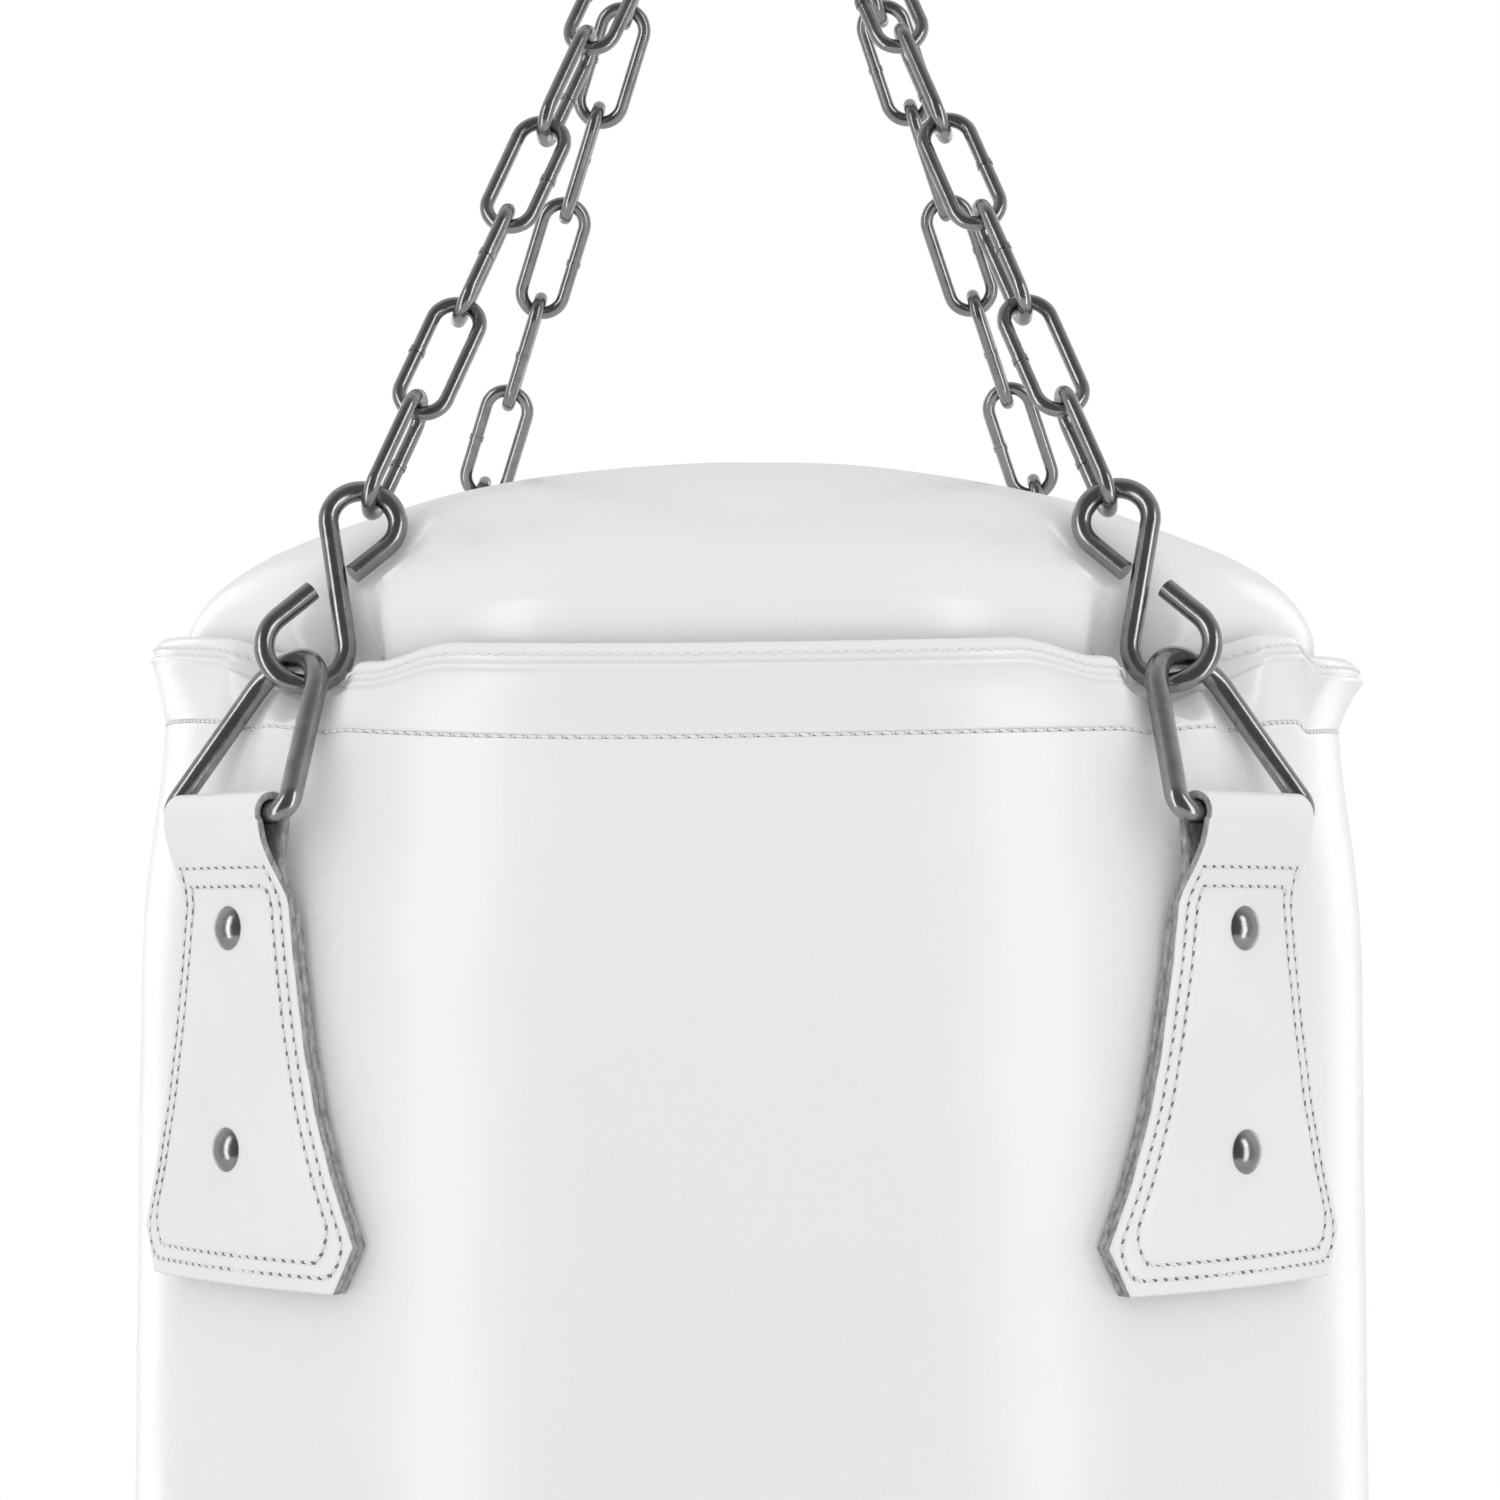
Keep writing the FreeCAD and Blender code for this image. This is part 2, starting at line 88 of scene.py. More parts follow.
def ramp(tree, value, low, high, dark, light):
    node = tree.nodes.new("ShaderNodeValToRGB")
    node.color_ramp.elements[0].position = low
    node.color_ramp.elements[1].position = high
    node.color_ramp.elements[0].color = (*dark, 1.0)
    node.color_ramp.elements[1].color = (*light, 1.0)
    tree.links.new(value, node.inputs["Fac"])
    return node.outputs["Color"]


def range_node(tree, value, source, target):
    node = tree.nodes.new("ShaderNodeMapRange")
    node.inputs["From Min"].default_value, node.inputs["From Max"].default_value = source
    node.inputs["To Min"].default_value, node.inputs["To Max"].default_value = target
    tree.links.new(value, node.inputs["Value"])
    return node


def spread(tree, value, low, high):
    """Stretches a noise value's usual range, 0.3 to 0.7, over low to high."""
    return range_node(tree, value, (0.3, 0.7), (low, high)).outputs["Result"]


def bump(tree, shader, layers):
    """layers: (height value, strength, distance in metres), coarse first."""
    normal = None
    for value, strength, distance in layers:
        node = tree.nodes.new("ShaderNodeBump")
        node.inputs["Strength"].default_value = strength
        node.inputs["Distance"].default_value = distance
        tree.links.new(value, node.inputs["Height"])
        if normal is not None:
            tree.links.new(normal, node.inputs["Normal"])
        normal = node.outputs["Normal"]
    tree.links.new(normal, shader.inputs["Normal"])


def grey(value):
    return (value, value, value)


def vinyl_material():
    mat, tree, shader, coords = new_material("white_vinyl")
    tone = noise_value(tree, coords, 9.0, 4.0)
    tree.links.new(ramp(tree, tone, 0.35, 0.7, grey(0.862), grey(0.875)), shader.inputs["Base Color"])
    rough = noise_value(tree, coords, 45.0, 4.0)
    tree.links.new(spread(tree, rough, 0.24, 0.30), shader.inputs["Roughness"])
    shader.inputs["Specular IOR Level"].default_value = 0.5
    grain = cells_value(tree, coords, 950.0)
    pebbles = noise_value(tree, coords, 420.0, 3.0)
    soft = noise_value(tree, coords, 26.0, 2.0)
    bump(tree, shader, [(soft, 0.05, 0.0008), (pebbles, 0.02, 0.0002), (grain, 0.05, 0.0001)])
    return mat


def leather_material():
    mat, tree, shader, coords = new_material("white_leather")
    tone = noise_value(tree, coords, 22.0, 5.0)
    tree.links.new(ramp(tree, tone, 0.35, 0.7, grey(0.85), grey(0.89)), shader.inputs["Base Color"])
    rough = noise_value(tree, coords, 90.0, 4.0)
    tree.links.new(spread(tree, rough, 0.30, 0.46), shader.inputs["Roughness"])
    shader.inputs["Specular IOR Level"].default_value = 0.45
    pores = cells_value(tree, coords, 1300.0)
    creases = noise_value(tree, coords, 240.0, 5.0, 0.65)
    soft = noise_value(tree, coords, 40.0, 2.0)
    bump(tree, shader, [(soft, 0.25, 0.0008), (creases, 0.18, 0.0003), (pores, 0.16, 0.00012)])
    return mat


def suede_material():
    mat, tree, shader, coords = new_material("cut_leather_edge")
    fibres = noise_value(tree, coords, 700.0, 6.0, 0.7, (1.0, 1.0, 0.35))
    tree.links.new(ramp(tree, fibres, 0.3, 0.72, grey(0.16), grey(0.58)), shader.inputs["Base Color"])
    shader.inputs["Roughness"].default_value = 0.9
    shader.inputs["Specular IOR Level"].default_value = 0.2
    clumps = noise_value(tree, coords, 260.0, 4.0)
    bump(tree, shader, [(clumps, 0.5, 0.0005), (fibres, 0.7, 0.0003)])
    return mat


def nickel_material():
    mat, tree, shader, coords = new_material("dark_nickel")
    shader.inputs["Metallic"].default_value = 1.0
    tone = noise_value(tree, coords, 160.0, 6.0, 0.65)
    tree.links.new(ramp(tree, tone, 0.32, 0.68, grey(0.27), grey(0.37)), shader.inputs["Base Color"])
    specks = noise_value(tree, coords, 1500.0, 3.0, 0.7)
    tree.links.new(spread(tree, specks, 0.15, 0.26), shader.inputs["Roughness"])
    ripples = noise_value(tree, coords, 330.0, 3.0)
    bump(tree, shader, [(ripples, 0.12, 0.0003), (specks, 0.16, 0.00006)])
    return mat


def thread_material():
    mat, tree, shader, coords = new_material("white_thread")
    fibre = noise_value(tree, coords, 2600.0, 2.0)
    tree.links.new(ramp(tree, fibre, 0.3, 0.7, grey(0.74), grey(0.9)), shader.inputs["Base Color"])
    shader.inputs["Roughness"].default_value = 0.7
    shader.inputs["Sheen Weight"].default_value = 0.3
    bump(tree, shader, [(fibre, 0.5, 0.00015)])
    return mat


# Grey for the flat marks at the needle holes: painted shade standing for the shadow inside each hole.
def hole_shade_material(name, dark, light):
    mat, tree, shader, coords = new_material(name)
    tone = noise_value(tree, coords, 900.0, 2.0)
    tree.links.new(ramp(tree, tone, 0.3, 0.7, grey(dark), grey(light)), shader.inputs["Base Color"])
    shader.inputs["Roughness"].default_value = 0.9
    shader.inputs["Specular IOR Level"].default_value = 0.1
    return mat


def stuffing_material(name, dark, light, scale):
    mat, tree, shader, coords = new_material(name)
    tone = noise_value(tree, coords, scale, 6.0, 0.7)
    tree.links.new(ramp(tree, tone, 0.3, 0.7, grey(dark), grey(light)), shader.inputs["Base Color"])
    shader.inputs["Roughness"].default_value = 0.95
    bump(tree, shader, [(tone, 0.8, 0.002)])
    return mat


VINYL = vinyl_material()
LEATHER = leather_material()
SUEDE = suede_material()
NICKEL = nickel_material()
THREAD = thread_material()
# Painted shade at the needle holes: dark on the straps, pale grey on the collar and base seams.
HOLE_SHADE = hole_shade_material("needle_hole_shade", 0.12, 0.30)
FAINT_HOLE_SHADE = hole_shade_material("faint_needle_hole_shade", 0.66, 0.80)
FOAM = stuffing_material("foam_sheet", 0.55, 0.72, 400.0)
FILLING = stuffing_material("textile_filling", 0.30, 0.60, 60.0)


# ---------------------------------------------------------------- mesh helpers

def spot(radius, phi, height):
    """Millimetres round the bag's axis to metres; phi in radians from the front towards +X."""
    return (radius * math.sin(phi) * MM, -radius * math.cos(phi) * MM, (height - DATUM) * MM)


def smooth(value):
    value = min(max(value, 0.0), 1.0)
    return value * value * (3.0 - 2.0 * value)


def around(phi, centre):
    """Signed angle from centre to phi, in radians."""
    return (phi - centre + math.pi) % TWO_PI - math.pi


def interpolate(table, x):
    if x <= table[0][0]:
        return table[0][1]
    for (x0, y0), (x1, y1) in zip(table, table[1:]):
        if x <= x1:
            return y0 + (y1 - y0) * (x - x0) / (x1 - x0)
    return table[-1][1]


def make_mesh(name, points, faces, materials, face_slots=None):
    mesh = bpy.data.meshes.new(name)
    mesh.from_pydata([tuple(p) for p in points], [], faces)
    for mat in materials:
        mesh.materials.append(mat)
    if face_slots is not None:
        mesh.polygons.foreach_set("material_index", face_slots)
    mesh.polygons.foreach_set("use_smooth", [True] * len(mesh.polygons))
    mesh.validate()
    mesh.update()
    piece = bpy.data.objects.new(name, mesh)
    bpy.context.scene.collection.objects.link(piece)
    return piece


def ring_faces(rows, columns, wrap_rows):
    """Quads between rings of points; the columns always wrap."""
    faces = []
    for i in range(rows if wrap_rows else rows - 1):
        low, high = i * columns, ((i + 1) % rows) * columns
        for j in range(columns):
            after = (j + 1) % columns
            faces.append((low + j, low + after, high + after, high + j))
    return faces


def ring_sweep(name, profile, columns, materials, close_top=False, close_bottom=False, adjust=None):
    """profile(phi) gives a list of (radius, height); adjust takes the points as rows x columns x 3."""
    angles = [TWO_PI * j / columns for j in range(columns)]
    rings = [profile(phi) for phi in angles]
    rows = len(rings[0])
    points = np.array([[spot(ring[i][0], phi, ring[i][1]) for phi, ring in zip(angles, rings)]
                       for i in range(rows)])
    if adjust:
        points = adjust(points)
    points = points.reshape(-1, 3)
    faces = ring_faces(rows, columns, not (close_top or close_bottom))
    if close_bottom:
        faces.append(tuple(range(columns))[::-1])
    if close_top:
        faces.append(tuple((rows - 1) * columns + j for j in range(columns)))
    return make_mesh(name, points, faces, materials)


# ---------------------------------------------------------------- hardware against the soft top

SAMPLE_STEP = 1.6 * MM
DRAPE_R = 9.0 * MM  # how tightly the material bends round the metal
DRAPE_REACH = 0.052
DRAPE_REACH_ALONG = 2.2 * DRAPE_REACH
DRAPE_SOFTNESS = 2.2 * MM
CHUNK = 1500  # points handled at a time, to keep the distance table small
METAL_GAP = 1.0 * MM
EDGE_GAP = 1.3 * MM
EDGE_SHIFT = (1.18, 1.18, 0.4)


def wire_samples(node):
    """Points along every edge of a CAD piece, close enough together to drape material over it."""
    mesh = nodes[node].data
    samples = []
    for edge in mesh.edges:
        a, b = (mesh.vertices[i].co for i in edge.vertices)
        count = max(1, int((b - a).length / SAMPLE_STEP))
        samples.extend(a.lerp(b, k / count) for k in range(count))
    return np.array(samples)


def sling_frame(name):
    """The D-ring's top, the outward direction square to the sling, and the hardware near the bag."""
    angle, bar_x = SLINGS[name]
    phi = math.radians(angle)
    outward = Vector((math.sin(phi), -math.cos(phi), 0.0))
    tangent = Vector((0, 0, 1)).cross(outward)
    middle = outward * RING_BAR_R + Vector((0, 0, RING_BAR_Z))
    pull = Vector((bar_x, 0, CLIP_Z)) - middle
    lean = (pull - tangent * pull.dot(tangent)).normalized()
    facing = (outward - lean * outward.dot(lean)).normalized()
    top = (middle + lean * RING_HEIGHT - Vector((0, 0, DATUM))) * MM
    axes = np.array([tangent, lean, facing])
    metal = np.vstack([wire_samples(kind + name + end) for kind, end in
                       (("d_ring_", ""), ("s_hook_", ""), ("link_", "_1"))])
    metal = (metal - np.array(top)) @ axes.T
    metal = metal[np.argsort(metal[:, 2])]
    _, innermost = np.unique(np.round(metal[:, :2] / MM), axis=0, return_index=True)
    return np.array(top), axes, metal[innermost]


SLING_FRAMES = [sling_frame(name) for name in SLINGS]


def soft_min(a, b, width):
    low = np.minimum(a, b)
    return low - width * np.log(np.exp(-(a - low) / width) + np.exp(-(b - low) / width))


def press(points, gap, width=DRAPE_SOFTNESS):
    """Drapes soft material on the inner side of the slings' hardware, gap metres away from it."""
    points = np.array(points, dtype=float)
    gap = np.broadcast_to(np.asarray(gap, dtype=float), (len(points),))
    for top, axes, metal in SLING_FRAMES:
        local = (points - top) @ axes.T
        near = np.where((abs(local[:, 0]) < DRAPE_REACH) & (abs(local[:, 1]) < DRAPE_REACH_ALONG)
                        & (local[:, 2] > -DRAPE_REACH))[0]
        for chunk in np.array_split(near, max(1, len(near) // CHUNK)):
            if len(chunk) == 0:
                continue
            spread_sq = ((local[chunk, None, :2] - metal[None, :, :2]) ** 2).sum(2)
            limit = (metal[None, :, 2] + spread_sq / (2.0 * DRAPE_R)).min(1) - gap[chunk]
            depth = soft_min(local[chunk, 2], limit, width)
            points[chunk] += (depth - local[chunk, 2])[:, None] * axes[2]
    return points


def press_edge(points):
    """The collar's rolled edge goes in further than down; the second press clears the metal again."""
    points = np.array(points, dtype=float)
    shift = (press(points, METAL_GAP) - points) * EDGE_SHIFT
    return press(points + shift, METAL_GAP)


def sling_bump(phi, half_width):
    """1 at a sling and 0 beyond half_width degrees from it."""
    nearest = min(abs(around(phi, math.radians(a))) for a, _ in SLINGS.values())
    t = math.degrees(nearest) / half_width
    return math.cos(math.pi / 2 * t) ** 2 if t < 1.0 else 0.0


# ---------------------------------------------------------------- bag body

SHELL_ROWS = 230
SHELL_THICKNESS = 3.0
SHELL_DRAPED_ABOVE = 20.0
SEAM_PINCH, SEAM_PINCH_SPAN = 0.45, 1.2
BODY_PROFILE = [(-1024, 175.2), (-1021, 176.4), (-1015, 177.0), (-700, 177.4), (-170, 177.5),
                (-110, 177.2), (-10, 176.9), (5, 176.4), (18, 175.3), (28, 173.9), (38, 172.5),
                (48, 171.4), (60, 170.8)]


def collar_fold(phi):
    """1 on the collar's right side, past the crease where it drops a little and stands out."""
    degrees = math.degrees(around(phi, 0.0))
    return smooth((degrees - 61.0) / 3.0) * (1.0 - smooth((degrees - 100.0) / 30.0))


def seam_height(phi):
    return 53.0 - 6.0 * math.cos(2.0 * phi) + 0.5 * math.sin(5.0 * phi + 0.4) - 3.0 * collar_fold(phi)


def groove_height(phi):
    wave = 70.5 - 7.0 * math.cos(2.0 * phi) + 0.7 * math.sin(3.0 * phi + 1.0)
    from_front = abs(math.degrees(around(phi, 0.0)))
    from_middle = min(from_front, 180.0 - from_front)
    inner_drop = smooth((from_middle - 24.0) / 9.0) * (1.0 - smooth((from_middle - 42.0) / 14.0))
    return wave - 4.6 * inner_drop - 0.8 * sling_bump(phi, 20.0) - 6.0 * collar_fold(phi)


def body_radius(phi, height):
    radius = interpolate(BODY_PROFILE, height)
    away = smooth((-95.0 - height) / 60.0)
    place = (math.sin(phi) * 2.0, math.cos(phi) * 2.0, height / 130.0)
    lumps = noise.noise(Vector(place)) * 1.1
    fine = noise.noise(Vector((math.sin(phi) * 7.0, math.cos(phi) * 7.0, height / 26.0))) * 0.22
    calm = 1.0 - 0.75 * sling_bump(phi, 22.0) * (1.0 - away)
    left = 1.2 * max(0.0, -math.sin(phi)) ** 4
    return radius + (lumps * (0.25 + 0.75 * away) + fine) * calm - 0.1 - left


def shell_profile(phi):
    top = seam_height(phi)
    rows = []
    for i in range(SHELL_ROWS + 1):
        t = i / SHELL_ROWS
        height = BAG_BOTTOM + 0.8 + (top - 0.4 - BAG_BOTTOM - 0.8) * (1.0 - (1.0 - t) ** 1.6)
        pinch = SEAM_PINCH * math.exp(-(top - height) / SEAM_PINCH_SPAN)
        pinch += 2.0 * math.exp(-(height - BAG_BOTTOM) / 1.8)
        rows.append((body_radius(phi, height) - pinch, height))
    inner = [(body_radius(phi, height) - SHELL_THICKNESS, height) for height in
             (top - 0.6, top - 30.0, -60.0, -300.0, -600.0, -900.0, BAG_BOTTOM + 1.0)]
    return rows + inner


def settle_shell(points):
    top = points[:, :, 2] > (SHELL_DRAPED_ABOVE - DATUM) * MM
    points[top] = press(points[top], METAL_GAP)
    return points


shell = ring_sweep("bag_shell", shell_profile, 360, [VINYL], adjust=settle_shell)
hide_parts("shell")
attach(shell, "bag")


# ---------------------------------------------------------------- collar and dome

def collar_edge_radius(phi):
    radius = 174.4 + 1.6 * math.sin(phi) + 0.7 * math.sin(4.0 * phi + 0.7)
    crease = math.degrees(around(phi, 0.0)) - 62.0
    radius += 1.2 * collar_fold(phi) - 1.6 * math.exp(-(crease / 1.6) ** 2)
    return radius - 6.0 * sling_bump(phi, 26.0)


WALL_ROWS = 18
LIP_SIDE_ROW = WALL_ROWS + 8
LIP_RISE = 3.0 * MM
COLLAR_LIP = [  # (outward, upward) from the wall's top
    (0.35, -0.8), (0.7, -0.3), (0.75, 0.2), (0.4, 0.55), (-0.25, 0.7), (-0.75, 0.85),
    (-0.85, 1.15), (-0.55, 1.5), (-0.35, 2.1), (-0.45, 2.9), (-0.8, 3.8), (-1.4, 4.7),
    (-2.2, 5.4), (-3.2, 5.9), (-4.4, 6.1), (-5.6, 5.8), (-6.5, 5.0), (-7.0, 3.6),
    (-7.2, 1.0), (-7.2, -5.0)]


def collar_profile(phi):
    seam = seam_height(phi)
    groove = groove_height(phi)
    low_r = body_radius(phi, seam)
    edge_r = collar_edge_radius(phi)
    rows = []
    for i in range(WALL_ROWS):
        t = i / (WALL_ROWS - 1.0)
        height = seam + 0.3 + (groove - 1.2 - seam - 0.3) * t
        radius = low_r + (edge_r - low_r) * (0.25 * t + 0.75 * t * t)
        pinch = SEAM_PINCH * math.exp(-(height - seam) / SEAM_PINCH_SPAN)
        wave = 0.35 * math.sin(9.0 * phi + 1.3) * math.sin(math.pi * t)
        rows.append((radius - pinch + wave, height))
    rows += [(edge_r + dr, groove + dz) for dr, dz in COLLAR_LIP]
    rows += [(edge_r - 6.6, seam + 6.0), (low_r - 5.0, seam + 1.0), (low_r - 3.2, seam + 0.4)]
    return rows


def settle_collar(points):
    """Presses the wall's outer side; the rolled edge and the inner side follow the wall's top."""
    columns = points.shape[1]
    wall = press(points[:WALL_ROWS].reshape(-1, 3), METAL_GAP).reshape(WALL_ROWS, columns, 3)
    shift = press_edge(points[LIP_SIDE_ROW]) - points[LIP_SIDE_ROW]
    lift = points[WALL_ROWS:, :, 2:3] - points[WALL_ROWS - 1, None, :, 2:3]
    blend = np.clip(lift / LIP_RISE, 0.0, 1.0)
    settled = points[WALL_ROWS:] + (wall[-1] - points[WALL_ROWS - 1]) * (1.0 - blend) + shift * blend
    settled = press(settled.reshape(-1, 3), EDGE_GAP).reshape(settled.shape)
    return np.concatenate([wall, settled])


collar = ring_sweep("bag_collar", collar_profile, 720, [VINYL], adjust=settle_collar)
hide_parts("collar")
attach(collar, "bag")

DOME_STEPS = 4  # rows for each step of the profile
DOME_SMOOTHING = 6
DOME_SOFTNESS = 4.0 * MM
COLLAR_BEHIND, COLLAR_BEHIND_SPAN = 72.0, 14.0
COLLAR_DEPTH = 8.5  # the dome's side stays this far behind the collar's draped face
DOME_PROFILE = [(158.0, 52.0), (161.0, 62.0), (163.4, 70.0), (164.4, 76.0), (164.0, 81.0),
                (161.6, 86.5), (157.0, 92.5), (150.0, 98.5), (141.0, 104.5), (130.0, 110.3),
                (116.0, 116.2), (100.0, 121.4), (82.0, 125.8), (62.0, 129.6), (42.0, 132.2),
                (22.0, 133.7), (8.0, 134.3), (1.5, 134.4)]


def dome_profile(phi):
    side = 5.0 * (0.5 - 0.5 * math.cos(2.0 * phi))
    dense = []
    for (r0, z0), (r1, z1) in zip(DOME_PROFILE, DOME_PROFILE[1:]):
        for k in range(DOME_STEPS):
            t = k / DOME_STEPS
            dense.append((r0 + (r1 - r0) * t, z0 + (z1 - z0) * t))
    dense.append(DOME_PROFILE[-1])
    rows = []
    for radius, height in dense:
        rim = smooth((radius - 120.0) / 40.0)
        shrink = 9.0 * sling_bump(phi, 30.0) * smooth((radius - 118.0) / 40.0)
        place = Vector((math.sin(phi) * radius / 34.0, math.cos(phi) * radius / 34.0, height / 30.0))
        swell = noise.noise(place) * 0.9 * (1.0 - rim * 0.5)
        lift = side * rim * 0.55
        rows.append((radius - shrink + swell * 0.4 * rim, height + lift + swell))
    return rows


def smooth_mesh(piece, factor, repeats):
    modifier = piece.modifiers.new("smooth", "SMOOTH")
    modifier.factor = factor
    modifier.iterations = repeats
    depsgraph = bpy.context.evaluated_depsgraph_get()
    mesh = bpy.data.meshes.new_from_object(piece.evaluated_get(depsgraph))
    piece.modifiers.clear()
    old = piece.data
    piece.data = mesh
    bpy.data.meshes.remove(old)


dome = ring_sweep("bag_top_cover", dome_profile, 360, [VINYL], close_top=True, close_bottom=True)
smooth_mesh(dome, 0.5, DOME_SMOOTHING)
dome_points = np.array([vertex.co for vertex in dome.data.vertices])
heights = dome_points[:, 2] / MM + DATUM
behind_collar = 1.0 - np.clip((heights - COLLAR_BEHIND) / COLLAR_BEHIND_SPAN, 0.0, 1.0)
dome_points = press(dome_points, (1.0 + COLLAR_DEPTH * behind_collar) * MM, DOME_SOFTNESS)
dome.data.vertices.foreach_set("co", dome_points.ravel())
dome.data.update()
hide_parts("top_cover")
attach(dome, "bag")


# ---------------------------------------------------------------- stitching

BLOB_STATIONS = [(-1.0, 0.0), (-0.86, 0.55), (-0.55, 0.9), (0.0, 1.0), (0.55, 0.9), (0.86, 0.55),
                 (1.0, 0.0)]
BLOB_SIDES = 8


def add_blob(points, faces, slots, centre, along, up, half_length, radius, slot, flat=0.8):
    """A rounded capsule: one stitch, or one flat mark of painted shade at a needle hole."""
    along = along.normalized()
    up = (up - along * up.dot(along)).normalized()
    side = along.cross(up)
    start = len(points)
    points.append(centre - along * half_length)
    for position, width in BLOB_STATIONS[1:-1]:
        for k in range(BLOB_SIDES):
            angle = TWO_PI * k / BLOB_SIDES
            spread_out = side * math.cos(angle) + up * math.sin(angle) * flat
            points.append(centre + along * half_length * position + spread_out * radius * width)
    points.append(centre + along * half_length)
    slots_before = len(faces)
    first = start + 1
    for k in range(BLOB_SIDES):
        faces.append((start, first + (k + 1) % BLOB_SIDES, first + k))
    for ring in range(len(BLOB_STATIONS) - 3):
        for k in range(BLOB_SIDES):
            a = first + ring * BLOB_SIDES + k
            b = first + ring * BLOB_SIDES + (k + 1) % BLOB_SIDES
            faces.append((a, b, b + BLOB_SIDES, a + BLOB_SIDES))
    last = first + (len(BLOB_STATIONS) - 3) * BLOB_SIDES
    for k in range(BLOB_SIDES):
        faces.append((last + k, last + (k + 1) % BLOB_SIDES, last + BLOB_SIDES))
    slots.extend([slot] * (len(faces) - slots_before))


def stitch_row(name, path, pitch, radius, hole_shade, slant=0.12, seed=1, mark=1.1):
    """path: closed list of (point, outward normal). Stitches lie along it, with a flat grey mark of
    painted shade at each needle hole between them.

    slant turns each stitch; mark is the half length over its radius of a needle hole's flat grey mark,
    which is painted shade for the hole's inside.
    """
    rng = random.Random(seed)
    points, faces, slots = [], [], []
    spots = [p for p, _ in path] + [path[0][0]]
    ups = [n for _, n in path] + [path[0][1]]
    lengths = [0.0]
    for a, b in zip(spots, spots[1:]):
        lengths.append(lengths[-1] + (b - a).length)
    count = max(3, round(lengths[-1] / pitch))
    step = lengths[-1] / count
    index = 0

    def at(distance):
        nonlocal index
        distance = min(max(distance, 0.0), lengths[-1])
        while index < len(lengths) - 2 and lengths[index + 1] < distance:
            index += 1
        while index > 0 and lengths[index] > distance:
            index -= 1
        t = (distance - lengths[index]) / max(lengths[index + 1] - lengths[index], 1e-9)
        place = spots[index].lerp(spots[index + 1], t)
        up = ups[index].lerp(ups[index + 1], t).normalized()
        return place, up

    for k in range(count):
        a, up_a = at(k * step)
        b, up_b = at((k + 1) * step)
        up = (up_a + up_b).normalized()
        along = b - a
        side = along.cross(up).normalized()
        along = along + side * step * (slant + rng.uniform(-0.05, 0.05))
        centre = (a + b) * 0.5 + up * radius * (0.30 + rng.uniform(-0.06, 0.06))
        add_blob(points, faces, slots, centre, along, up, step * 0.40, radius, 0)
        # A flat grey mark at the needle hole: painted shade for the shadow inside the hole.
        add_blob(points, faces, slots, a, along, up, radius * mark, radius * 0.85, 1, 0.35)
    return make_mesh(name, points, faces, [THREAD, hole_shade], slots)


def ring_path(radius_of, height_of, settle):
    count = 720
    spots = [Vector(spot(radius_of(TWO_PI * j / count), TWO_PI * j / count,
                         height_of(TWO_PI * j / count))) for j in range(count)]
    spots = [Vector(p) for p in settle(spots)]
    path = []
    for j, place in enumerate(spots):
        tangent = spots[(j + 1) % count] - spots[j - 1]
        path.append((place, tangent.cross(Vector((0, 0, 1))).normalized()))
    return path


seam_stitches = stitch_row(
    "collar_seam_stitching",
    ring_path(lambda phi: body_radius(phi, seam_height(phi)) - 0.35, seam_height,
              lambda spots: press(spots, METAL_GAP)),
    pitch=3.4 * MM, radius=0.45 * MM, hole_shade=FAINT_HOLE_SHADE, seed=3)
welt_stitches = stitch_row(
    "collar_edge_stitching",
    ring_path(lambda phi: collar_edge_radius(phi) - 0.5, lambda phi: groove_height(phi) + 3.0,
              press_edge),
    pitch=3.2 * MM, radius=0.45 * MM, hole_shade=FAINT_HOLE_SHADE, seed=4)
for piece in (seam_stitches, welt_stitches):
    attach(piece, "bag")


# ---------------------------------------------------------------- straps

STRAP_WIDTHS = [(-90.0, 40.0), (-78.0, 46.0), (-62.0, 39.2), (-45.0, 33.4), (-26.0, 29.0),
                (-8.0, 25.8), (8.0, 23.6), (15.0, 22.0), (22.0, 21.1), (36.0, 21.0)]
STRAP_BOTTOM = -90.0
HALF_LAYER = 1.18
OUTER_MID_R, BACK_MID_R = 182.4, 179.75
FOLD_R = 4.5
FOLD_ANGLE = math.radians(24.0)
NECK_START = 6.5
FLAT_STATIONS, NECK_STATIONS, BEND_STATIONS, BACK_STATIONS = 146, 19, 24, 59
TOUCH_R = RING_BAR_R + FOLD_R * math.cos(FOLD_ANGLE)  # where the front layer meets the fold
TOUCH_Z = RING_BAR_Z - FOLD_R * math.sin(FOLD_ANGLE)
CURVE_TOP, CURVE_SPAN = 8.0, 14.0  # above this the strap leaves the bag's curve
SIDE_STEPS = 56
EDGE_ROUND = 0.5
EDGE_WANDER, EDGE_CALM_ABOVE = 0.35, 14.0
BACK_INSET = 0.5
DIPPED_BELOW = 19.0


def strap_half_width(height):
    return interpolate(STRAP_WIDTHS, height)


def strap_spot(angle, t, radius, height):
    """A point on a strap: t mm sideways from its middle, curved with the bag below the fold."""
    curved = 1.0 - smooth((height - CURVE_TOP) / CURVE_SPAN)
    depth = radius - curved * (radius - math.sqrt(radius * radius - t * t))
    phi = math.radians(angle)
    x = depth * math.sin(phi) + t * math.cos(phi)
    y = -depth * math.cos(phi) + t * math.sin(phi)
    return Vector((x * MM, y * MM, (height - DATUM) * MM))


def outer_radius(height):
    """The front layer's middle: flat under the rivets, then outward up to the ring's bar."""
    t = min(max((height - NECK_START) / (TOUCH_Z - NECK_START), 0.0), 1.0)
    return OUTER_MID_R + (TOUCH_R - OUTER_MID_R) * (0.55 * t + 0.45 * smooth(t))


